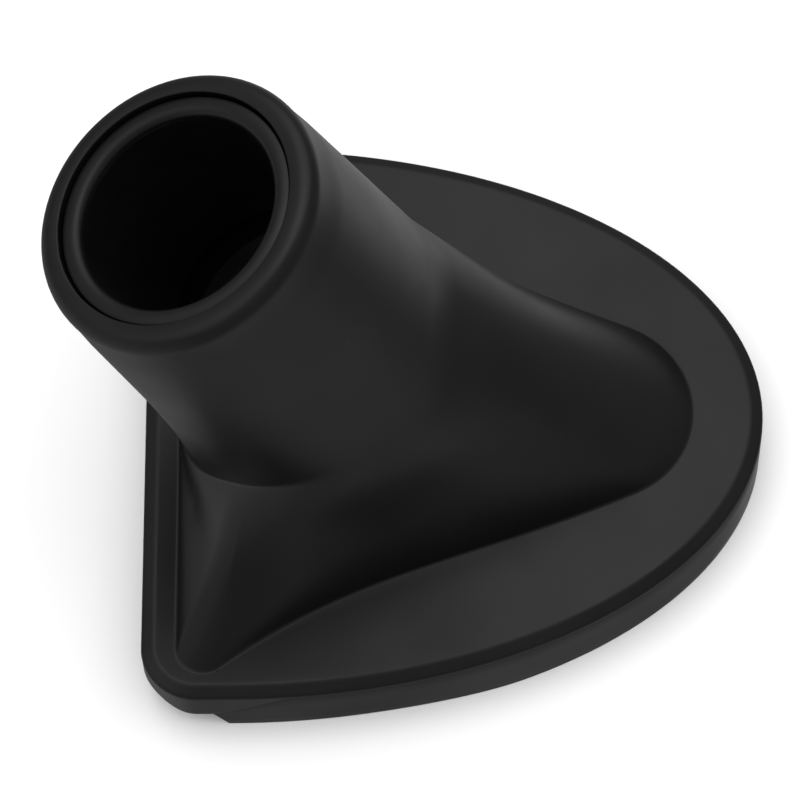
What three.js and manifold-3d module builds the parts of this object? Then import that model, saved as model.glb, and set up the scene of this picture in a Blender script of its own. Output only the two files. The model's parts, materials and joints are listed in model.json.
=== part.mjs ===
import * as THREE from 'three';
import { mergeVertices } from 'three/addons/utils/BufferGeometryUtils.js';
import Module from 'manifold-3d';

// Suction hood of a dust blower: a D-shaped skirted flange, a hollow fairing on it, and a thick-walled
// tube that leans back over the flange's straight heel edge and holds a sleeve for a 32 mm hose cuff.
// Millimetres, +Z up, +X towards the rounded nose, symmetric about y = 0.
// Design coordinates start at the heel edge of the flange; the group at the end moves x = 0 to the
// middle of the whole length.

// Flange
const plateLength = 102;
const plateWidth = 100;
const plateHeight = 12;
const heelCornerRadius = 9;
const noseEllipseLength = 86.5;
const borderWidth = 2.25;
const borderDrop = 0.6;
const webThickness = 3;
const rimWidth = 5.8;
const heelClearance = 4.4;

// Skirt on the curved edge
const skirtThickness = 3;
const skirtHeight = 10.3;
const skirtToeAtFloor = 14;
const skirtToeTip = 11.5;
const skirtTaperFoot = { x: 12.9, z: 4.6 };
const skirtTaperTop = 23.2;
const jointGap = 0.3;
const cutterMargin = 5;

// Tube and its sleeve
const hoseBoreRadius = 16;
const sleeveWall = 3;
const sleeveRecess = 0.6;
const sleeveLength = 34;
const sleeveEdgeRadius = 1.4;
const tubeLean = THREE.MathUtils.degToRad(22.5);
const tubeLipRadius = 23.2;
const tubeTaper = 0.04;
const lipRounding = 2.5;
const lipInnerChamfer = 0.25;
const mouthSetback = 9;
const mouthHeight = 85.8;
const stopRadius = 17.4;
const stopLength = 8;

// Fairing footprint on the flange, measured from the heel edge
const fairingHeelX = 5.8;
const fairingNoseX = 90.3;
const fairingNoseRadius = 16.2;
const fairingCornerRadius = 4.3;
const fairingCornerY = 41.4;
const flankAngleAtCorner = THREE.MathUtils.degToRad(36.4);
const flankAngleAtNose = THREE.MathUtils.degToRad(23.5);
const flankHandleAtCorner = 28.6;
const flankHandleAtNose = 30.9;
const fairingWall = 3.2;

// Where the fairing meets the tube: depth below the mouth at the front, then two drops on the way round
// to the heel, each between two angles from the front
const junctionDepthFront = 45.3;
const shoulderDrop = 4;
const shoulderAngles = [5, 40].map(THREE.MathUtils.degToRad);
const heelDrop = 15.8;
const heelAngles = [96, 180].map(THREE.MathUtils.degToRad);
const junctionBlendFront = 5;
const junctionBlendHeel = 1.2;
const blendAngles = [55, 110].map(THREE.MathUtils.degToRad);
const blendShare = 0.35;

// At the heel the tube's foot flares out until it stands upright on the fairing's heel line
const heelFlare = 4.7;
const flareAngles = [124, 180].map(THREE.MathUtils.degToRad);
const flareLength = 30;
const flarePower = 1.5;
const flareSteps = [0.25, 0.5, 0.7, 0.81];

// Mesh density: points on half a ring, crowded towards the heel corners
const halfRingSteps = 36;
const blendTurns = [0, 0.33, 0.67, 1];
const outerFairingHeights = [0.6, 0.3, 0];
const innerFairingHeights = [0, 0.35, 0.7, 1];
const cornerShare = 0.62;
const cornerCrowding = 0.7;
const outlineCornerShift = 0.118;
const sleeveSegments = 64;
const lipTurns = [22.5, 45, 67.5, 90].map(THREE.MathUtils.degToRad);
const edgeTurns = [0, 22.5, 45, 67.5, 90].map(THREE.MathUtils.degToRad);

const wasm = await Module();
wasm.setup();

const mouth = new THREE.Matrix4().makeTranslation(mouthSetback, 0, mouthHeight);
mouth.multiply(new THREE.Matrix4().makeRotationY(-tubeLean));

// Half of the flange's outline, from the nose tip round the +Y side to the middle of the heel.
function halfFlangeOutline() {
  const halfWidth = plateWidth / 2;
  const path = new THREE.Path();
  path.absellipse(plateLength - noseEllipseLength, 0, noseEllipseLength, halfWidth, 0, Math.PI / 2);
  path.lineTo(heelCornerRadius, halfWidth);
  path.absarc(heelCornerRadius, halfWidth - heelCornerRadius, heelCornerRadius, Math.PI / 2, Math.PI);
  path.lineTo(0, 0);
  return path;
}

// Half of the fairing's footprint, in the same direction: nose arc, hollow flank, corner arc, heel.
function halfFairingOutline() {
  const noseTurn = Math.PI / 2 - flankAngleAtNose;
  const cornerTurn = Math.PI / 2 - flankAngleAtCorner;
  const noseCentreX = fairingNoseX - fairingNoseRadius;
  const cornerCentreX = fairingHeelX + fairingCornerRadius;
  const noseEnd = new THREE.Vector2(
    noseCentreX + fairingNoseRadius * Math.cos(noseTurn),
    fairingNoseRadius * Math.sin(noseTurn),
  );
  const cornerStart = new THREE.Vector2(
    cornerCentreX + fairingCornerRadius * Math.cos(cornerTurn),
    fairingCornerY + fairingCornerRadius * Math.sin(cornerTurn),
  );
  const path = new THREE.Path();
  path.absarc(noseCentreX, 0, fairingNoseRadius, 0, noseTurn);
  path.bezierCurveTo(
    noseEnd.x - flankHandleAtNose * Math.cos(flankAngleAtNose),
    noseEnd.y + flankHandleAtNose * Math.sin(flankAngleAtNose),
    cornerStart.x + flankHandleAtCorner * Math.cos(flankAngleAtCorner),
    cornerStart.y - flankHandleAtCorner * Math.sin(flankAngleAtCorner),
    cornerStart.x,
    cornerStart.y,
  );
  path.absarc(cornerCentreX, fairingCornerY, fairingCornerRadius, cornerTurn, Math.PI);
  path.lineTo(fairingHeelX, 0);
  return path;
}

const flangeOutline = halfFlangeOutline();
const fairingOutline = halfFairingOutline();

// Share of a half outline's length at each step, closer together near the heel corner.
function shares() {
  const list = [];
  for (let step = 0; step <= halfRingSteps; step += 1) {
    const even = step / halfRingSteps;
    const wave = Math.sin(2 * Math.PI * (even - cornerShare)) + Math.sin(2 * Math.PI * cornerShare);
    list.push(even - cornerCrowding * wave / (2 * Math.PI));
  }
  return list;
}

const stepShares = shares();

// A closed ring from one point for each share on the +Y side, mirrored to the -Y side.
function mirroredRing(pointAt) {
  const half = stepShares.map(pointAt);
  const mirrored = half.slice(1, -1).reverse().map((p) => new THREE.Vector3(p.x, -p.y, p.z));
  return [...half, ...mirrored];
}

// A point of a half outline at a share of its length, moved inwards along its normal.
function insetPoint(outline, share, inset, z) {
  const point = outline.getPoint(share);
  const tangent = outline.getTangent(share);
  return new THREE.Vector3(point.x - tangent.y * inset, point.y + tangent.x * inset, z);
}

// The flange's corner lies a little further along its outline than the fairing's corner does.
function flangeRing(inset, z) {
  return mirroredRing((share) => {
    const shifted = share + outlineCornerShift * share * (1 - share);
    return insetPoint(flangeOutline, shifted, inset, z);
  });
}

// A point on the tube: angle from its front, depth below the mouth, radius.
function tubePoint(angle, depth, radius) {
  const local = new THREE.Vector3(radius * Math.cos(angle), radius * Math.sin(angle), -depth);
  return local.applyMatrix4(mouth);
}

function tubeRing(depth, radius) {
  return mirroredRing((share) => tubePoint(share * Math.PI, depth, radius));
}

function junctionDepth(angle) {
  const shoulder = THREE.MathUtils.smoothstep(angle, ...shoulderAngles);
  const heel = THREE.MathUtils.smoothstep(angle, ...heelAngles);
  return junctionDepthFront + shoulderDrop * shoulder + heelDrop * heel;
}

function junctionBlend(angle) {
  const turn = THREE.MathUtils.smoothstep(angle, ...blendAngles);
  return THREE.MathUtils.lerp(junctionBlendFront, junctionBlendHeel, turn);
}

function tubeRadius(depth, angle) {
  const aboveJunction = junctionDepth(angle) - depth;
  const down = THREE.MathUtils.clamp(1 - aboveJunction / flareLength, 0, 1);
  const flare = heelFlare * THREE.MathUtils.smoothstep(angle, ...flareAngles) * down ** flarePower;
  return tubeLipRadius + tubeTaper * depth + flare;
}

// Fairing column at one share: from the footprint (0) to the tube (1).
function fairingPoint(share, height, wall, footZ) {
  const angle = share * Math.PI;
  const depth = junctionDepth(angle);
  const foot = insetPoint(fairingOutline, share, wall, footZ);
  const top = tubePoint(angle, depth, tubeRadius(depth, angle) - wall);
  return foot.lerp(top, height);
}

function fairingRing(height, wall, footZ) {
  return mirroredRing((share) => fairingPoint(share, height, wall, footZ));
}

// Rings across the concave corner between the tube and the fairing, rounded as a parabola.
function blendRings(turns) {
  return turns.map((turn) => mirroredRing((share) => {
    const angle = share * Math.PI;
    const depth = junctionDepth(angle);
    const corner = tubePoint(angle, depth, tubeRadius(depth, angle));
    const foot = insetPoint(fairingOutline, share, 0, plateHeight);
    const reach = Math.min(junctionBlend(angle), blendShare * foot.distanceTo(corner));
    const above = tubePoint(angle, depth - reach, tubeRadius(depth - reach, angle));
    const below = foot.sub(corner).setLength(reach).add(corner);
    return new THREE.QuadraticBezierCurve3(above, corner, below).getPoint(turn);
  }));
}

// Rings down the tube, where its foot flares out.
function flareRings(steps) {
  return steps.map((step) => mirroredRing((share) => {
    const angle = share * Math.PI;
    const depth = junctionDepth(angle) - flareLength * (1 - step);
    return tubePoint(angle, depth, tubeRadius(depth, angle));
  }));
}

// A closed skin over rings that follow each other round a section, wrapped both ways.
function skinOf(rings) {
  const ringSize = rings[0].length;
  const positions = [];
  for (const ring of rings) {
    for (const point of ring) {
      positions.push(point.x, point.y, point.z);
    }
  }
  const index = [];
  for (let row = 0; row < rings.length; row += 1) {
    const nextRow = (row + 1) % rings.length;
    for (let column = 0; column < ringSize; column += 1) {
      const nextColumn = (column + 1) % ringSize;
      const a = row * ringSize + column;
      const b = row * ringSize + nextColumn;
      const c = nextRow * ringSize + nextColumn;
      const d = nextRow * ringSize + column;
      index.push(a, d, c, a, c, b);
    }
  }
  const geometry = new THREE.BufferGeometry();
  geometry.setAttribute('position', new THREE.Float32BufferAttribute(positions, 3));
  geometry.setIndex(index);
  return geometry;
}

function solidFrom(geometry) {
  const bare = geometry.clone();
  bare.deleteAttribute('normal');
  bare.deleteAttribute('uv');
  const merged = mergeVertices(bare);
  return new wasm.Manifold(new wasm.Mesh({
    numProp: 3,
    vertProperties: new Float32Array(merged.attributes.position.array),
    triVerts: new Uint32Array(merged.index.array),
  }));
}

function geometryFrom(solid) {
  const mesh = solid.getMesh();
  const geometry = new THREE.BufferGeometry();
  geometry.setAttribute('position', new THREE.BufferAttribute(mesh.vertProperties, 3));
  geometry.setIndex(new THREE.BufferAttribute(mesh.triVerts, 1));
  geometry.computeVertexNormals();
  return geometry;
}

// A prism across the whole width, from an outline in the side view (x, z).
function sidePrism(outline) {
  const shape = new THREE.Shape(outline.map(([x, z]) => new THREE.Vector2(x, z)));
  const width = plateWidth + 2 * cutterMargin;
  const geometry = new THREE.ExtrudeGeometry(shape, { depth: width, bevelEnabled: false });
  geometry.rotateX(Math.PI / 2);
  geometry.translate(0, width / 2, 0);
  return solidFrom(geometry);
}

// Side view of the space the skirt takes: slanted toe, tapered top edge, then full height.
// A margin of jointGap gives the pocket that the hood leaves for it.
function skirtSpace(margin) {
  const pastNose = plateLength + rimWidth;
  const floor = margin > 0 ? -rimWidth : 0;
  return sidePrism([
    [skirtToeAtFloor - margin, floor],
    [skirtToeTip - margin, heelClearance - jointGap + margin],
    [skirtTaperFoot.x - margin, skirtTaperFoot.z + margin],
    [skirtTaperTop - margin, skirtHeight + margin],
    [pastNose, skirtHeight + margin],
    [pastNose, floor],
  ]);
}

// Moulded rubber hood: outer skin from the lip down to the rim, inner skin back up to the lip.
function hoodShell() {
  const boreRadius = hoseBoreRadius + sleeveWall + jointGap;
  const rounded = tubeLipRadius - lipRounding;
  const sleeveSeat = sleeveRecess + sleeveLength + jointGap;
  const webUnderside = plateHeight - webThickness;
  const edgeZ = plateHeight - borderDrop;
  const outer = [
    tubeRing(0, boreRadius + lipInnerChamfer),
    tubeRing(0, rounded),
    ...lipTurns.map((turn) => tubeRing(
      lipRounding * (1 - Math.cos(turn)),
      rounded + lipRounding * Math.sin(turn),
    )),
    ...flareRings(flareSteps),
    ...blendRings(blendTurns),
    ...outerFairingHeights.map((height) => fairingRing(height, 0, plateHeight)),
    flangeRing(borderWidth, plateHeight),
    flangeRing(0, edgeZ),
    flangeRing(0, heelClearance),
  ];
  const inner = [
    flangeRing(rimWidth, heelClearance),
    flangeRing(rimWidth, webUnderside),
    ...innerFairingHeights.map((height) => fairingRing(height, fairingWall, webUnderside)),
    tubeRing(sleeveSeat + stopLength, stopRadius),
    tubeRing(sleeveSeat, stopRadius),
    tubeRing(sleeveSeat, boreRadius),
    tubeRing(lipInnerChamfer, boreRadius),
  ];
  const pocketInner = flangeRing(skirtThickness + jointGap, 0);
  const pocketOuter = flangeRing(-cutterMargin, 0);
  const shape = new THREE.Shape(pocketOuter.map((p) => new THREE.Vector2(p.x, p.y)));
  shape.holes.push(new THREE.Path(pocketInner.map((p) => new THREE.Vector2(p.x, p.y))));
  const band = new THREE.ExtrudeGeometry(shape, { depth: plateHeight, bevelEnabled: false });
  const pocket = solidFrom(band).intersect(skirtSpace(jointGap));
  return geometryFrom(solidFrom(skinOf([...outer, ...inner])).subtract(pocket));
}

// Skirt strip round the nose and sides: a wall flush with the flange's edge, on a foot that the hood's
// inner rim stands over.
function baseSkirt() {
  const footTop = heelClearance - jointGap;
  const section = [
    flangeRing(0, 0),
    flangeRing(rimWidth, 0),
    flangeRing(rimWidth, footTop),
    flangeRing(skirtThickness, footTop),
    flangeRing(skirtThickness, skirtHeight),
    flangeRing(0, skirtHeight),
  ];
  return geometryFrom(solidFrom(skinOf(section)).intersect(skirtSpace(0)));
}

// Hose sleeve: a plain ring with a rounded inner edge at the mouth, turned about the tube's axis.
function mouthSleeve() {
  const outerRadius = hoseBoreRadius + sleeveWall;
  const top = -sleeveRecess;
  const bottom = top - sleeveLength;
  const profile = [
    new THREE.Vector2(hoseBoreRadius, bottom),
    new THREE.Vector2(outerRadius, bottom),
    new THREE.Vector2(outerRadius, top),
  ];
  for (const turn of edgeTurns) {
    profile.push(new THREE.Vector2(
      hoseBoreRadius + sleeveEdgeRadius * (1 - Math.sin(turn)),
      top - sleeveEdgeRadius * (1 - Math.cos(turn)),
    ));
  }
  profile.push(profile[0].clone());
  const geometry = new THREE.LatheGeometry(profile, sleeveSegments);
  geometry.rotateX(Math.PI / 2);
  return geometryFrom(solidFrom(geometry));
}

function rubber(color) {
  return new THREE.MeshStandardMaterial({ color, roughness: 0.5, metalness: 0 });
}

function named(name, geometry, material) {
  const mesh = new THREE.Mesh(geometry, material);
  mesh.name = name;
  return mesh;
}

const tubeFrame = new THREE.Group();
tubeFrame.position.set(mouthSetback, 0, mouthHeight);
tubeFrame.rotation.y = -tubeLean;
const sleeveMaterial = new THREE.MeshStandardMaterial({ color: 0x1c1c1e, roughness: 0.4, metalness: 0 });
tubeFrame.add(named('mouth_sleeve', mouthSleeve(), sleeveMaterial));

const hood = new THREE.Group();
hood.add(named('hood_shell', hoodShell(), rubber(0x161618)));
hood.add(named('base_skirt', baseSkirt(), rubber(0x18181a)));
hood.add(tubeFrame);

// The lip reaches back past the heel, so the whole length runs from there to the nose.
const box = new THREE.Box3().setFromObject(hood);
hood.position.x = -(box.min.x + box.max.x) / 2;

export default hood;
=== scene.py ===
"""Suction hood of a dust blower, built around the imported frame. Lengths are in metres."""
import json
import math

import bpy
import numpy as np
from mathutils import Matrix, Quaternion, Vector


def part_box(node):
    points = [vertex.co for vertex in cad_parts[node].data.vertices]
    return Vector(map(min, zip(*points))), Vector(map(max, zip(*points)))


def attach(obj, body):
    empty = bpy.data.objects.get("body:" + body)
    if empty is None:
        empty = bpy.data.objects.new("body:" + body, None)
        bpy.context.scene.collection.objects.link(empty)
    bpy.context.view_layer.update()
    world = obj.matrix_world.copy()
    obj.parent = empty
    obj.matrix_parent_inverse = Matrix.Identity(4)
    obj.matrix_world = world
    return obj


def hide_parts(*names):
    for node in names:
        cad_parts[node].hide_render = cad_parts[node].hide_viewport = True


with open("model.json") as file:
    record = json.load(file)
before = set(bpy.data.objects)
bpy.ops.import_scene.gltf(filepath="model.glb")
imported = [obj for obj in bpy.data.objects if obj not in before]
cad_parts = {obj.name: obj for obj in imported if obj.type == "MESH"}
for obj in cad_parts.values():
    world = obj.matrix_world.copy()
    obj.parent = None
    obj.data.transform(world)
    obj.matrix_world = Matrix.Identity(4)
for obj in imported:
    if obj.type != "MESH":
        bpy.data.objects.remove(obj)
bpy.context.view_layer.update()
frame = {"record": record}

MM = 0.001

# Places that come from the frame
MOUNTS = {mount["name"]: mount for mount in frame["record"]["mounts"]}
SKIRT_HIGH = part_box("base_skirt")[1]
NOSE_X = SKIRT_HIGH.x
HALF_WIDTH = SKIRT_HIGH.y
SKIRT_TOP = SKIRT_HIGH.z
FLANGE_LENGTH = 102 * MM
HEEL_X = NOSE_X - FLANGE_LENGTH
FLANGE_TOP = MOUNTS["flange_top"]["pos_m"][2]
RIM_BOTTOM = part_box("hood_shell")[0].z
MOUTH_X = MOUNTS["mouth_face"]["pos_m"][0]
MOUTH_Z = MOUNTS["mouth_face"]["pos_m"][2]
TUBE_LEAN = math.radians(22.5)

# Flange and skirt
HEEL_CORNER = 9 * MM
NOSE_ELLIPSE = 86.5 * MM
BORDER_WIDTH = 2.05 * MM
BORDER_DROP = 0.95 * MM
BORDER_EDGE = 0.5 * MM
BORDER_SOFTNESS = 0.45 * MM
WEB = 3 * MM
RIM_WIDTH = 5.8 * MM
SKIRT_WALL = 3 * MM
FOOT_TOP = 4.1 * MM
JOINT_GAP = 0.3 * MM
SEAM = 0.02 * MM
SEAM_EDGE = 0.07 * MM
TOE_AT_FLOOR = 14 * MM
TOE_TIP = 11.5 * MM
TAPER_FOOT = (12.9 * MM, 4.6 * MM)
TAPER_TOP_X = 23.2 * MM
EDGE = 0.2 * MM
SHOULDER_SPLAY = 0.8 * MM
SHOULDER_ACROSS = (0.84, 0.98)
SHOULDER_FROM_HEEL = (20 * MM, 30 * MM)
CORNER_TUCK = 0.95 * MM
TOE_LEAN_END = 40 * MM

# Tube and sleeve
BORE_RADIUS = 16 * MM
SLEEVE_RADIUS = 19 * MM
SLEEVE_RECESS = 0.6 * MM
SLEEVE_LENGTH = 34 * MM
SLEEVE_EDGE = 1.4 * MM
# The painted shade on the bore wall runs from the sleeve's bottom up to this depth below the mouth.
BORE_SHADE_DEPTH = 2.3 * MM
SEAT_RADIUS = SLEEVE_RADIUS + JOINT_GAP
STOP_RADIUS = 17.4 * MM
STOP_LENGTH = 8 * MM
LIP_RADIUS = 23.2 * MM
LIP_ROUNDING = 2.5 * MM
LIP_CHAMFER = 0.25 * MM
LIP_EDGE_ROWS = 5
SEAT_ROWS = 8
SEAT_PULL = 0.26 * MM
SEAT_PULL_ANGLE = math.radians(118)
SEAT_CLOSED = -0.1
TORN_ANGLE = math.radians(195)
TORN_SPREAD = math.radians(42)
TORN_DEPTH = 0.07 * MM
TORN_WAVES = (17, 29, 43, 61)
TAPER = 0.04
TAPER_START = 10 * MM
HEEL_FLARE = 4.7 * MM
FLARE_ANGLES = (math.radians(124), math.radians(180))
FLARE_LENGTH = 30 * MM
FLARE_POWER = 1.5

# Fairing
FAIRING_HEEL = 5.8 * MM
FAIRING_NOSE = 90.3 * MM
FAIRING_NOSE_RADIUS = 16.2 * MM
FAIRING_CORNER_RADIUS = 4.3 * MM
FAIRING_CORNER_Y = 41.4 * MM
FLANK_ANGLE_CORNER = math.radians(36.4)
FLANK_ANGLE_NOSE = math.radians(23.5)
FLANK_HANDLE_CORNER = 28.6 * MM
FLANK_HANDLE_NOSE = 30.9 * MM
FAIRING_WALL = 3.2 * MM
FAIRING_SAG = 0.8 * MM
SAG_SHARE = 0.06
FOOT_FILLET = 0.45 * MM
JUNCTION_FRONT = 45.3 * MM
SHOULDER_DROP = 4 * MM
SHOULDER_ANGLES = (math.radians(5), math.radians(40))
HEEL_DROP = 15.8 * MM
HEEL_ANGLES = (math.radians(96), math.radians(180))
BLEND_FRONT = 3.5 * MM
BLEND_HEEL = 0.6 * MM
BLEND_ANGLES = (math.radians(55), math.radians(110))
BLEND_SHARE = 0.35

# Mesh density
HALF_COLUMNS = 160
LIP_ROWS = 10
TUBE_ROWS = 25
JUNCTION_ROWS = 16
FAIRING_ROWS = 27
INNER_ROWS = 14
FLANGE_ROWS = 10
ROUNDING_ROWS = 6
UPPER_TUBE_START = 3.0 * MM
UPPER_TUBE_END = 12.0 * MM
UPPER_TUBE_STEP = 0.6 * MM
OUTLINE_SAMPLES = 4001
SKIRT_SECTIONS = 220
SLEEVE_SEGMENTS = 192
CORNER_SHARE = 0.62
CORNER_CROWDING = 0.7
OUTLINE_CORNER_SHIFT = 0.118

# Materials: how far tone and gloss stray from their means, the size of the noise (per metre) and its height
TONE_RANGE = (0.8, 1.25)
GLOSS_RANGE = (0.8, 1.22)
NOISE_RANGE = (0.3, 0.7)
CLOUD_SCALE = 60
SMEAR_SCALE = 48
SWELL_SCALE = 160
SWELL_STRENGTH = 0.25
SWELL_HEIGHT = 0.1 * MM
GRAIN_SCALE = 3500
GRAIN_HEIGHT = 0.03 * MM
# Painted shade inside the bore and the hood: a dark, barely reflecting finish. Its specular level,
# roughness, two mottled tones and the mottle's scale.
SHADE_SPECULAR = 0.04
SHADE_ROUGHNESS = 0.95
PAINTED_SHADE_TONES = (0.0015, 0.0045)
SHADE_MOTTLE_SCALE = 240
FLOOR_WHITE = 0.9
FLOOR_ROUGHNESS = 0.9
FLOOR_REACH = 6.0

# Light: an even grey studio with soft round glows. A glow is its azimuth and elevation, the half
# angles where it starts to fade and where it ends, and its radiance.
STUDIO_GREY = 0.19
BACK_SOFTBOX = (85, 57, 12, 40, 0.6)
HEEL_SOFTBOX = (180, 57, 12, 40, 0.3)
TOP_LAMP = (95, 80, 6, 22, 0.35)
BACK_BOUNCE = (60, -40, 12, 40, 0.3)
FRONT_BOUNCE = (-45, -40, 12, 40, 0.15)
HEEL_BOUNCE = (-155, -25, 20, 65, 0.2)
GLOWS = (BACK_SOFTBOX, HEEL_SOFTBOX, TOP_LAMP, BACK_BOUNCE, FRONT_BOUNCE, HEEL_BOUNCE)
FILL_HEIGHT = 3.0
FILL_SIZE = 8.0
FILL_RADIANCE = 1.5

# Camera, as angles and distance from a target on the floor
CAMERA_AZIMUTH = math.radians(1.53)
CAMERA_ELEVATION = math.radians(64.95)
CAMERA_ROLL = math.radians(-1.95)
CAMERA_DISTANCE = 750.7 * MM
CAMERA_TARGET = (-3.23 * MM, 7.88 * MM, 0)
CAMERA_LENS = 200.7
CAMERA_SENSOR = 36
CAMERA_CLIP_END = 20


# ---------------------------------------------------------------- outlines and rings

class Outline:
    """Half of a symmetric outline, from the nose tip round the +Y side to the middle of the heel."""

    def __init__(self, *stretches):
        points = np.concatenate(stretches)
        steps = np.linalg.norm(np.diff(points, axis=0), axis=1)
        keep = np.concatenate([[True], steps > 1e-7])
        self.points = points[keep]
        lengths = np.linalg.norm(np.diff(self.points, axis=0), axis=1)
        self.travelled = np.concatenate([[0.0], np.cumsum(lengths)])
        tangents = np.gradient(self.points, self.travelled, axis=0)
        self.tangents = tangents / np.linalg.norm(tangents, axis=1)[:, None]

    def at(self, shares, inset=0.0):
        """Points at these shares of the length, moved inwards along the normal."""
        where = np.asarray(shares) * self.travelled[-1]
        x, y = (np.interp(where, self.travelled, self.points[:, k]) for k in (0, 1))
        tx, ty = (np.interp(where, self.travelled, self.tangents[:, k]) for k in (0, 1))
        size = np.hypot(tx, ty)
        return x - ty / size * inset, y + tx / size * inset


def arc(centre_x, centre_y, radius_x, radius_y, start, end, steps=200):
    turn = np.linspace(start, end, steps)
    return np.stack([centre_x + radius_x * np.cos(turn), centre_y + radius_y * np.sin(turn)], axis=1)


def bezier(a, b, c, d, steps=400):
    t = np.linspace(0, 1, steps)[:, None]
    return (1 - t) ** 3 * a + 3 * (1 - t) ** 2 * t * b + 3 * (1 - t) * t * t * c + t ** 3 * d


def line(a, b, steps=40):
    return np.linspace(a, b, steps)


def flange_outline():
    side_start = HEEL_X + FLANGE_LENGTH - NOSE_ELLIPSE
    corner_x = HEEL_X + HEEL_CORNER
    corner_y = HALF_WIDTH - HEEL_CORNER
    return Outline(
        arc(side_start, 0, NOSE_ELLIPSE, HALF_WIDTH, 0, math.pi / 2, 800),
        line((side_start, HALF_WIDTH), (corner_x, HALF_WIDTH)),
        arc(corner_x, corner_y, HEEL_CORNER, HEEL_CORNER, math.pi / 2, math.pi),
        line((HEEL_X, corner_y), (HEEL_X, 0)),
    )


def fairing_outline():
    nose_turn = math.pi / 2 - FLANK_ANGLE_NOSE
    corner_turn = math.pi / 2 - FLANK_ANGLE_CORNER
    nose_x = HEEL_X + FAIRING_NOSE - FAIRING_NOSE_RADIUS
    corner_x = HEEL_X + FAIRING_HEEL + FAIRING_CORNER_RADIUS
    nose = arc(nose_x, 0, FAIRING_NOSE_RADIUS, FAIRING_NOSE_RADIUS, 0, nose_turn)
    corner = arc(corner_x, FAIRING_CORNER_Y, FAIRING_CORNER_RADIUS, FAIRING_CORNER_RADIUS,
                 corner_turn, math.pi)
    at_nose = np.array([-math.cos(FLANK_ANGLE_NOSE), math.sin(FLANK_ANGLE_NOSE)])
    at_corner = np.array([math.cos(FLANK_ANGLE_CORNER), -math.sin(FLANK_ANGLE_CORNER)])
    flank = bezier(nose[-1], nose[-1] + at_nose * FLANK_HANDLE_NOSE,
                   corner[0] + at_corner * FLANK_HANDLE_CORNER, corner[0])
    heel_x = HEEL_X + FAIRING_HEEL
    return Outline(nose, flank, corner, line((heel_x, FAIRING_CORNER_Y), (heel_x, 0)))


FLANGE = flange_outline()
FAIRING = fairing_outline()

EVEN = np.linspace(0, 1, HALF_COLUMNS + 1)
WAVE = np.sin(2 * np.pi * (EVEN - CORNER_SHARE)) + math.sin(2 * np.pi * CORNER_SHARE)
SHARES = EVEN - CORNER_CROWDING * WAVE / (2 * np.pi)
ANGLES = SHARES * np.pi
FLANGE_SHARES = SHARES + OUTLINE_CORNER_SHIFT * SHARES * (1 - SHARES)


def smoothstep(value, low, high):
    t = np.clip((value - low) / (high - low), 0, 1)
    return t * t * (3 - 2 * t)


def splay(shares, z):
    """How far the side wall leans out of the flange's outline at a height; negative where it tucks in."""
    x, y = FLANGE.at(shares)
    from_heel = x - HEEL_X
    across = np.abs(y) / HALF_WIDTH
    shoulder = across * (1 - smoothstep(across, *SHOULDER_ACROSS))
    shoulder = shoulder * smoothstep(from_heel, *SHOULDER_FROM_HEEL)
    corner_x = np.clip(1 - from_heel / HEEL_CORNER, 0, 1)
    corner_y = np.clip(1 - (HALF_WIDTH - np.abs(y)) / HEEL_CORNER, 0, 1)
    corner = (2 * corner_x * corner_y) ** 2
    down = 1 - np.clip(z / (FLANGE_TOP - BORDER_DROP), 0, 1)
    return (SHOULDER_SPLAY * shoulder - CORNER_TUCK * corner) * down


def flange_row(inset, z, shares=None):
    shares = FLANGE_SHARES if shares is None else shares
    x, y = FLANGE.at(shares, inset - splay(shares, z))
    return np.stack([x, y, np.broadcast_to(z, x.shape)], axis=1)


def fairing_row(inset, z):
    x, y = FAIRING.at(SHARES, inset)
    return np.stack([x, y, np.broadcast_to(z, x.shape)], axis=1)


def tube_point(angle, depth, radius):
    """A point of the tube by its angle from the front, its depth below the mouth and its radius."""
    forward = radius * np.cos(angle)
    depth = np.broadcast_to(depth, np.shape(forward))
    x = MOUTH_X + forward * math.cos(TUBE_LEAN) + depth * math.sin(TUBE_LEAN)
    z = MOUTH_Z + forward * math.sin(TUBE_LEAN) - depth * math.cos(TUBE_LEAN)
    return np.stack([x, radius * np.sin(angle), z], axis=-1)


def tube_direction(angle):
    """Unit vector out of the tube's axis at an angle from the front."""
    forward = np.cos(angle)
    return np.stack([forward * math.cos(TUBE_LEAN), np.sin(angle), forward * math.sin(TUBE_LEAN)], axis=-1)


def tube_row(depth, radius):
    return tube_point(ANGLES, depth, radius)


SHOULDER = SHOULDER_DROP * smoothstep(ANGLES, *SHOULDER_ANGLES)
JUNCTION = JUNCTION_FRONT + SHOULDER + HEEL_DROP * smoothstep(ANGLES, *HEEL_ANGLES)


def tube_radius(depth):
    """Outer radius column by column: a taper, and a flare that stands the foot on the heel line."""
    down = np.clip(1 - (JUNCTION - depth) / FLARE_LENGTH, 0, 1)
    flare = HEEL_FLARE * smoothstep(ANGLES, *FLARE_ANGLES) * down ** FLARE_POWER
    return LIP_RADIUS + TAPER * depth * smoothstep(depth, LIP_ROUNDING, TAPER_START) + flare


def junction_blend():
    """Reach of the rounding between tube and fairing, which shrinks where the fairing is short."""
    wide = BLEND_FRONT + (BLEND_HEEL - BLEND_FRONT) * smoothstep(ANGLES, *BLEND_ANGLES)
    side = fairing_row(0, FLANGE_TOP) - tube_row(JUNCTION, tube_radius(JUNCTION))
    return np.minimum(wide, BLEND_SHARE * np.linalg.norm(side, axis=1))


BLEND = junction_blend()


def quadratic(a, b, c, steps):
    """Rows along a parabola from a to c with its corner at b, without the last one."""
    for t in np.linspace(0, 1, steps + 1)[:-1]:
        yield (1 - t) ** 2 * a + 2 * (1 - t) * t * b + t * t * c


def between(a, b, steps):
    for t in np.linspace(0, 1, steps + 1)[:-1]:
        yield a + (b - a) * t


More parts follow.
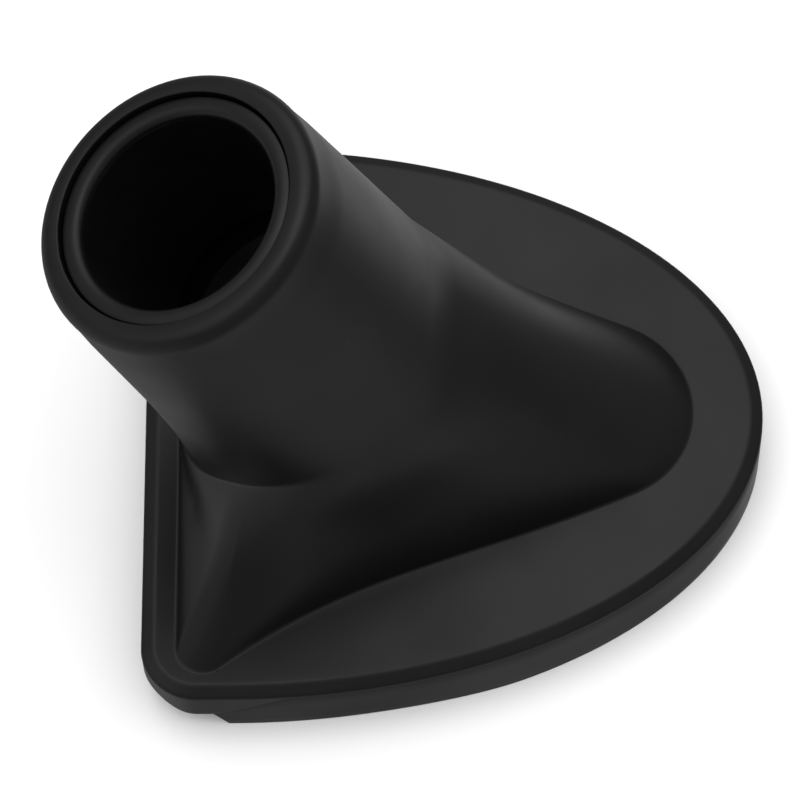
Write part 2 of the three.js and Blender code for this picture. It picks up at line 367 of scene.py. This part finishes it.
def along(a, b, reach):
    """The point at a distance from a on the way to b, column by column."""
    way = b - a
    return a + way / np.linalg.norm(way, axis=1)[:, None] * reach


# ---------------------------------------------------------------- meshes

def mirrored(row):
    """A whole ring from half of it: the +Y side, then its mirror image."""
    other = row[-2:0:-1] * np.array([1, -1, 1])
    return np.concatenate([row, other])


def mesh_object(name, points, faces):
    mesh = bpy.data.meshes.new(name)
    mesh.from_pydata(points.reshape(-1, 3).tolist(), [], faces)
    mesh.validate()
    mesh.polygons.foreach_set("use_smooth", [True] * len(mesh.polygons))
    mesh.update()
    piece = bpy.data.objects.new(name, mesh)
    bpy.context.scene.collection.objects.link(piece)
    return piece


def paint_shade_faces(piece, first, last):
    """Gives a run of faces the second material, a dark finish that paints in the shade of the hollows."""
    second = [first <= k < last for k in range(len(piece.data.polygons))]
    piece.data.polygons.foreach_set("material_index", second)


def wrapped_faces(row_count, column_count, close_rows=True):
    """Quads of a grid that closes along its columns, and along its rows too if asked."""
    faces = []
    for row in range(row_count if close_rows else row_count - 1):
        below = (row + 1) % row_count * column_count
        here = row * column_count
        for column in range(column_count):
            beside = (column + 1) % column_count
            faces.append((here + column, below + column, below + beside, here + beside))
    return faces


def lower_edge(x):
    """Height of the hood's wall edge above the skirt, by distance from the heel."""
    return np.interp(
        x - HEEL_X,
        [TOE_TIP - SEAM, TAPER_FOOT[0] - SEAM, TAPER_TOP_X - SEAM],
        [RIM_BOTTOM, TAPER_FOOT[1] + SEAM, SKIRT_TOP + SEAM],
    )


def hood_rows():
    rows = []
    seat_depth = SLEEVE_RECESS + SLEEVE_LENGTH + JOINT_GAP
    rounded = LIP_RADIUS - LIP_ROUNDING
    # lip
    for turn in np.linspace(0, math.pi / 2, LIP_EDGE_ROWS):
        rows.append(tube_row(LIP_CHAMFER * (1 - math.sin(turn)),
                             SEAT_RADIUS + LIP_CHAMFER * (1 - math.cos(turn))))
    for turn in np.linspace(0, math.pi / 2, LIP_ROWS):
        rows.append(tube_row(LIP_ROUNDING * (1 - math.cos(turn)),
                             rounded + (tube_radius(LIP_ROUNDING) - rounded) * math.sin(turn)))
    for depth in np.arange(UPPER_TUBE_START, UPPER_TUBE_END - 0.5 * UPPER_TUBE_STEP, UPPER_TUBE_STEP):
        rows.append(tube_row(depth, tube_radius(depth)))
    # tube, down to where the blend starts
    blend_start = JUNCTION - BLEND
    for t in np.linspace(0, 1, TUBE_ROWS + 1)[:-1]:
        depth = UPPER_TUBE_END + (blend_start - UPPER_TUBE_END) * t
        rows.append(tube_row(depth, tube_radius(depth)))
    # junction
    above = tube_row(blend_start, tube_radius(blend_start))
    corner = tube_row(JUNCTION, tube_radius(JUNCTION))
    foot = fairing_row(0, FLANGE_TOP)
    below = along(corner, foot, BLEND[:, None])
    rows.extend(quadratic(above, corner, below, JUNCTION_ROWS))
    # fairing
    height = np.linalg.norm(corner - foot, axis=1)[:, None]
    fillet_top = along(foot, corner, np.minimum(FOOT_FILLET, 0.3 * height))
    sag = np.minimum(FAIRING_SAG, SAG_SHARE * height)
    inward = (fairing_row(FAIRING_SAG, FLANGE_TOP) - foot) / FAIRING_SAG * sag
    for t in np.linspace(0, 1, FAIRING_ROWS + 1)[:-1]:
        rows.append(below + (fillet_top - below) * t + inward * math.sin(math.pi * t) ** 2)
    rows.extend(quadratic(fillet_top, foot, fairing_row(-FOOT_FILLET, FLANGE_TOP), ROUNDING_ROWS))
    # flange top and border
    soft = BORDER_SOFTNESS
    slope = BORDER_DROP / BORDER_WIDTH
    inner_edge = BORDER_WIDTH + soft
    rows.extend(between(fairing_row(-FOOT_FILLET, FLANGE_TOP), flange_row(inner_edge, FLANGE_TOP),
                        FLANGE_ROWS))
    rows.extend(quadratic(flange_row(inner_edge, FLANGE_TOP), flange_row(BORDER_WIDTH, FLANGE_TOP),
                          flange_row(BORDER_WIDTH - soft, FLANGE_TOP - slope * soft), ROUNDING_ROWS))
    edge_top = FLANGE_TOP - slope * (BORDER_WIDTH - BORDER_EDGE)
    edge_corner = FLANGE_TOP - BORDER_DROP
    rows.extend(between(flange_row(BORDER_WIDTH - soft, FLANGE_TOP - slope * soft),
                        flange_row(BORDER_EDGE, edge_top), 4))
    rows.extend(quadratic(flange_row(BORDER_EDGE, edge_top), flange_row(0, edge_corner),
                          flange_row(0, edge_corner - BORDER_EDGE), ROUNDING_ROWS))
    # side wall, pocket for the skirt and rim
    edge = lower_edge(flange_row(0, 0)[:, 0])
    rows.extend(between(flange_row(0, edge_corner - BORDER_EDGE), flange_row(0, edge + SEAM_EDGE), 6))
    rows.extend(quadratic(flange_row(0, edge + SEAM_EDGE), flange_row(0, edge),
                          flange_row(SEAM_EDGE, edge), 3))
    pocket = SKIRT_WALL + JOINT_GAP
    rows.append(flange_row(SEAM_EDGE, edge))
    rows.append(flange_row(pocket - EDGE, edge))
    rows.append(flange_row(pocket, np.maximum(edge - EDGE, RIM_BOTTOM)))
    rows.append(flange_row(pocket + 0.1 * EDGE, np.minimum(edge, RIM_BOTTOM + EDGE)))
    rows.append(flange_row(pocket + EDGE, RIM_BOTTOM))
    rows.append(flange_row(RIM_WIDTH - EDGE, RIM_BOTTOM))
    rows.append(flange_row(RIM_WIDTH, RIM_BOTTOM + EDGE))
    # underside of the web and the inside of the fairing
    outside_count = len(rows)
    web_z = FLANGE_TOP - WEB
    rows.append(flange_row(RIM_WIDTH, web_z - EDGE))
    rows.append(flange_row(RIM_WIDTH + EDGE, web_z))
    inner_foot = fairing_row(FAIRING_WALL, web_z)
    inner_top = tube_row(JUNCTION, tube_radius(JUNCTION) - FAIRING_WALL)
    rows.extend(between(flange_row(RIM_WIDTH + EDGE, web_z), fairing_row(FAIRING_WALL - EDGE, web_z), 4))
    rows.append(fairing_row(FAIRING_WALL - EDGE, web_z))
    rows.extend(between(along(inner_foot, inner_top, EDGE), inner_top, INNER_ROWS))
    rows.append(inner_top)
    # stop ring and the sleeve's seat
    stop_end = seat_depth + STOP_LENGTH
    rows.append(tube_row(stop_end, STOP_RADIUS + 2 * EDGE))
    rows.append(tube_row(stop_end - EDGE, STOP_RADIUS))
    rows.append(tube_row(seat_depth + EDGE, STOP_RADIUS))
    rows.append(tube_row(seat_depth, STOP_RADIUS + EDGE))
    rows.append(tube_row(seat_depth, SEAT_RADIUS - EDGE))
    for depth in np.linspace(seat_depth - EDGE, 2 * LIP_CHAMFER, SEAT_ROWS):
        rows.append(tube_row(depth, SEAT_RADIUS))
    rings = np.array([mirrored(row) for row in rows])
    seat_rows = list(range(LIP_EDGE_ROWS)) + list(range(len(rings) - SEAT_ROWS, len(rings)))
    rings[seat_rows] += seat_wander(rings.shape[1])
    return rings, outside_count


def seat_wander(count):
    """How the lip's inner edge strays from a true circle: pulled to one side, and slightly torn there."""
    half = np.concatenate([ANGLES, 2 * math.pi - ANGLES[-2:0:-1]])
    pull = SEAT_PULL * (np.cos(half - SEAT_PULL_ANGLE) - SEAT_CLOSED)
    torn = np.exp(-((half - TORN_ANGLE) / TORN_SPREAD) ** 2)
    ragged = sum(np.sin(wave * half + wave ** 2) / wave ** 0.5 for wave in TORN_WAVES)
    shift = pull + TORN_DEPTH * torn * ragged
    return tube_direction(half) * shift[:, None]


def make_hood():
    rings, outside_count = hood_rows()
    row_count, column_count = rings.shape[:2]
    hood = mesh_object("hood_moulding", rings, wrapped_faces(row_count, column_count))
    # The inside rows get the dark finish that paints the shade inside the hood.
    paint_shade_faces(hood, outside_count * column_count, (row_count - 1) * column_count)
    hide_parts("hood_shell")
    return hood


def make_skirt():
    """Strip from toe to toe: at each column a section of wall and foot, with a slanted, tapered toe."""
    outline_shares = np.linspace(0, 1, OUTLINE_SAMPLES)
    x, _ = FLANGE.at(outline_shares)
    toe_share = np.interp(-(HEEL_X + TOE_AT_FLOOR), -x, outline_shares)
    half = toe_share * np.sin(np.linspace(0, math.pi / 2, SKIRT_SECTIONS))
    far = HEEL_X + TOE_LEAN_END
    sections = []
    for share in half:
        floor_x = float(FLANGE.at([share])[0][0])
        lean = (TOE_AT_FLOOR - TOE_TIP) * (1 - smoothstep(floor_x, HEEL_X + TOE_AT_FLOOR, far))
        top_x = floor_x - lean
        top = np.interp(top_x - HEEL_X, [TOE_TIP, TAPER_FOOT[0], TAPER_TOP_X],
                        [FOOT_TOP + 2 * EDGE, TAPER_FOOT[1] + EDGE, SKIRT_TOP])
        section = [
            (EDGE, 0), (0.3 * EDGE, 0.3 * EDGE), (0, EDGE), (0, FOOT_TOP / 2), (0, (FOOT_TOP + top) / 2),
            (0, top - SEAM_EDGE), (0.3 * SEAM_EDGE, top - 0.3 * SEAM_EDGE), (SEAM_EDGE, top),
            (SKIRT_WALL - EDGE, top), (SKIRT_WALL, top - EDGE), (SKIRT_WALL, FOOT_TOP + 0.5 * EDGE),
            (SKIRT_WALL + EDGE, FOOT_TOP), (RIM_WIDTH - EDGE, FOOT_TOP),
            (RIM_WIDTH, FOOT_TOP - EDGE), (RIM_WIDTH, EDGE), (RIM_WIDTH - EDGE, 0),
        ]
        row = []
        for inset, z in section:
            moved = floor_x - lean * min(z / max(top, EDGE), 1)
            at_share = np.interp(-moved, -x, outline_shares) if lean > 0 else share
            row.append(tuple(flange_row(inset, z, np.array([at_share]))[0]))
        sections.append(row)
    half_rows = np.array(sections)
    other = half_rows[:0:-1] * np.array([1, -1, 1])
    rows = np.concatenate([other, half_rows])
    count, size = rows.shape[:2]
    faces = wrapped_faces(count, size, close_rows=False)
    faces.append(tuple(range(size)))
    faces.append(tuple((count - 1) * size + k for k in reversed(range(size))))
    skirt = mesh_object("skirt_strip", rows, faces)
    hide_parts("base_skirt")
    return skirt


def make_sleeve():
    bottom = SLEEVE_RECESS + SLEEVE_LENGTH
    profile = []
    for turn in np.linspace(0, math.pi / 2, 9):
        profile.append((BORE_RADIUS + SLEEVE_EDGE * (1 - math.cos(turn)),
                        SLEEVE_RECESS + SLEEVE_EDGE * (1 - math.sin(turn))))
    profile += [(SLEEVE_RADIUS - EDGE, SLEEVE_RECESS), (SLEEVE_RADIUS, SLEEVE_RECESS + EDGE)]
    profile += [(SLEEVE_RADIUS, depth) for depth in np.linspace(3 * MM, bottom - EDGE, 6)]
    profile += [(SLEEVE_RADIUS - EDGE, bottom), (BORE_RADIUS + EDGE, bottom)]
    bore_start = len(profile) - 1
    profile += [(BORE_RADIUS, depth) for depth in np.linspace(bottom - EDGE, BORE_SHADE_DEPTH, 8)]
    turns = np.linspace(0, 2 * math.pi, SLEEVE_SEGMENTS + 1)[:-1]
    rings = np.array([tube_point(turns, depth, radius) for radius, depth in profile])
    sleeve = mesh_object("hose_sleeve", rings, wrapped_faces(*rings.shape[:2]))
    # The bore wall gets the dark finish that paints the shade inside the bore.
    paint_shade_faces(sleeve, bore_start * len(turns), (len(profile) - 1) * len(turns))
    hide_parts("mouth_sleeve")
    return sleeve


# ---------------------------------------------------------------- materials

def moulded_material(name, color, roughness, grain, seed):
    """Black moulded rubber or plastic: uneven tone and gloss, faint swells and a fine grain."""
    material = bpy.data.materials.new(name)
    material.use_nodes = True
    nodes = material.node_tree.nodes
    links = material.node_tree.links
    shader = nodes["Principled BSDF"]
    place = nodes.new("ShaderNodeTexCoord")

    def noise(scale, detail):
        node = nodes.new("ShaderNodeTexNoise")
        node.noise_dimensions = "4D"
        node.inputs["W"].default_value = seed
        node.inputs["Scale"].default_value = scale
        node.inputs["Detail"].default_value = detail
        links.new(place.outputs["Object"], node.inputs["Vector"])
        return node

    def ranged(source, low, high):
        node = nodes.new("ShaderNodeMapRange")
        node.inputs["From Min"].default_value = NOISE_RANGE[0]
        node.inputs["From Max"].default_value = NOISE_RANGE[1]
        node.inputs["To Min"].default_value = low
        node.inputs["To Max"].default_value = high
        links.new(source, node.inputs["Value"])
        return node.outputs["Result"]

    tone = nodes.new("ShaderNodeMix")
    tone.data_type = "RGBA"
    tone.inputs["A"].default_value = (*[c * TONE_RANGE[0] for c in color], 1)
    tone.inputs["B"].default_value = (*[c * TONE_RANGE[1] for c in color], 1)
    clouds = noise(CLOUD_SCALE, 4)
    links.new(ranged(clouds.outputs["Fac"], 0, 1), tone.inputs["Factor"])
    links.new(tone.outputs["Result"], shader.inputs["Base Color"])
    smears = noise(SMEAR_SCALE, 4)
    glossy, dull = (roughness * factor for factor in GLOSS_RANGE)
    links.new(ranged(smears.outputs["Fac"], glossy, dull), shader.inputs["Roughness"])

    swell = nodes.new("ShaderNodeBump")
    swell.inputs["Strength"].default_value = SWELL_STRENGTH
    swell.inputs["Distance"].default_value = SWELL_HEIGHT
    links.new(noise(SWELL_SCALE, 2).outputs["Fac"], swell.inputs["Height"])
    fine = nodes.new("ShaderNodeBump")
    fine.inputs["Strength"].default_value = grain
    fine.inputs["Distance"].default_value = GRAIN_HEIGHT
    links.new(noise(GRAIN_SCALE, 3).outputs["Fac"], fine.inputs["Height"])
    links.new(swell.outputs["Normal"], fine.inputs["Normal"])
    links.new(fine.outputs["Normal"], shader.inputs["Normal"])
    return material


def painted_shade_material():
    """Inside of the hood and the sleeve's bore: a dark, rough finish that hardly reflects, painting in the
    shade of these hollows, with a mottled tone.
    """
    material = bpy.data.materials.new("painted_shade_dark")
    material.use_nodes = True
    nodes = material.node_tree.nodes
    links = material.node_tree.links
    shader = nodes["Principled BSDF"]
    shader.inputs["Specular IOR Level"].default_value = SHADE_SPECULAR
    shader.inputs["Roughness"].default_value = SHADE_ROUGHNESS
    place = nodes.new("ShaderNodeTexCoord")
    # Noise that mottles the tone of the painted shade.
    dust = nodes.new("ShaderNodeTexNoise")
    dust.inputs["Scale"].default_value = SHADE_MOTTLE_SCALE
    dust.inputs["Detail"].default_value = 6
    links.new(place.outputs["Object"], dust.inputs["Vector"])
    tone = nodes.new("ShaderNodeMix")
    tone.data_type = "RGBA"
    tone.inputs["A"].default_value = (*[PAINTED_SHADE_TONES[0]] * 3, 1)
    tone.inputs["B"].default_value = (*[PAINTED_SHADE_TONES[1]] * 3, 1)
    links.new(dust.outputs["Fac"], tone.inputs["Factor"])
    links.new(tone.outputs["Result"], shader.inputs["Base Color"])
    return material


def floor_material():
    material = bpy.data.materials.new("pale_floor")
    material.use_nodes = True
    shader = material.node_tree.nodes["Principled BSDF"]
    shader.inputs["Base Color"].default_value = (*[FLOOR_WHITE] * 3, 1)
    shader.inputs["Roughness"].default_value = FLOOR_ROUGHNESS
    return material


# ---------------------------------------------------------------- stage, light and camera

def make_floor():
    """The floor lights and carries the object, but the object reflects the studio's grey instead of it."""
    size = FLOOR_REACH
    corners = np.array([(-size, -size, 0), (size, -size, 0), (size, size, 0), (-size, size, 0)])
    floor = mesh_object("floor", corners, [(0, 1, 2, 3)])
    floor.data.materials.append(floor_material())
    floor.visible_glossy = False


def floor_fill():
    """A wide lamp overhead that whitens the floor and shows in no reflection."""
    light = bpy.data.lights.new("floor_fill", "AREA")
    light.shape = "DISK"
    light.size = FILL_SIZE
    light.energy = FILL_RADIANCE * math.pi * math.pi * (FILL_SIZE / 2) ** 2
    lamp = bpy.data.objects.new("floor_fill", light)
    lamp.location = (0, 0, FILL_HEIGHT)
    lamp.visible_camera = False
    lamp.visible_glossy = False
    bpy.context.scene.collection.objects.link(lamp)


def glow_node(tree, direction, azimuth, elevation, inner, outer, radiance):
    """A soft round patch of light in the studio; the angles are in degrees, seen from the object."""
    turn, rise = math.radians(azimuth), math.radians(elevation)
    closeness = tree.nodes.new("ShaderNodeVectorMath")
    closeness.operation = "DOT_PRODUCT"
    closeness.inputs[1].default_value = (math.cos(turn) * math.cos(rise),
                                         math.sin(turn) * math.cos(rise), math.sin(rise))
    tree.links.new(direction, closeness.inputs[0])
    patch = tree.nodes.new("ShaderNodeMapRange")
    patch.interpolation_type = "SMOOTHSTEP"
    patch.inputs["From Min"].default_value = math.cos(math.radians(outer))
    patch.inputs["From Max"].default_value = math.cos(math.radians(inner))
    patch.inputs["To Min"].default_value = 0
    patch.inputs["To Max"].default_value = radiance
    tree.links.new(closeness.outputs["Value"], patch.inputs["Value"])
    return patch.outputs["Result"]


def make_world():
    """A grey studio with soft patches of light, the same for every view."""
    world = bpy.data.worlds.new("studio")
    world.use_nodes = True
    tree = world.node_tree
    place = tree.nodes.new("ShaderNodeTexCoord")
    strength = None
    for glow in GLOWS:
        total = tree.nodes.new("ShaderNodeMath")
        total.operation = "ADD"
        total.inputs[1].default_value = STUDIO_GREY
        if strength is not None:
            tree.links.new(strength, total.inputs[1])
        tree.links.new(glow_node(tree, place.outputs["Generated"], *glow), total.inputs[0])
        strength = total.outputs["Value"]
    background = tree.nodes["Background"]
    background.inputs["Color"].default_value = (1, 1, 1, 1)
    tree.links.new(strength, background.inputs["Strength"])
    bpy.context.scene.world = world


def make_lights():
    make_world()
    floor_fill()


def make_camera():
    target = Vector(CAMERA_TARGET)
    away = Vector((math.sin(CAMERA_AZIMUTH) * math.cos(CAMERA_ELEVATION),
                   -math.cos(CAMERA_AZIMUTH) * math.cos(CAMERA_ELEVATION),
                   math.sin(CAMERA_ELEVATION)))
    data = bpy.data.cameras.new("camera")
    data.lens = CAMERA_LENS
    data.sensor_width = CAMERA_SENSOR
    data.clip_end = CAMERA_CLIP_END
    camera = bpy.data.objects.new("camera", data)
    camera.location = target + away * CAMERA_DISTANCE
    camera.rotation_mode = "QUATERNION"
    camera.rotation_quaternion = away.to_track_quat("Z", "Y") @ Quaternion((0, 0, 1), CAMERA_ROLL)
    bpy.context.scene.collection.objects.link(camera)
    bpy.context.scene.camera = camera


make_camera()
rubber = moulded_material("satin_rubber", (0.004, 0.004, 0.0043), 0.34, 0.25, 1.0)
skirt_rubber = moulded_material("skirt_rubber", (0.0045, 0.0045, 0.0048), 0.36, 0.25, 2.0)
plastic = moulded_material("sleeve_plastic", (0.004, 0.004, 0.0043), 0.34, 0.15, 3.0)
# Each piece's second slot is the dark finish that paints the shade inside the hood and the bore.
painted_shade_finish = painted_shade_material()
for piece, material in ((make_hood(), rubber), (make_skirt(), skirt_rubber), (make_sleeve(), plastic)):
    piece.data.materials.append(material)
    piece.data.materials.append(painted_shade_finish)
    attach(piece, "root")
make_floor()
make_lights()

scene = bpy.context.scene
scene.view_settings.view_transform = "Standard"
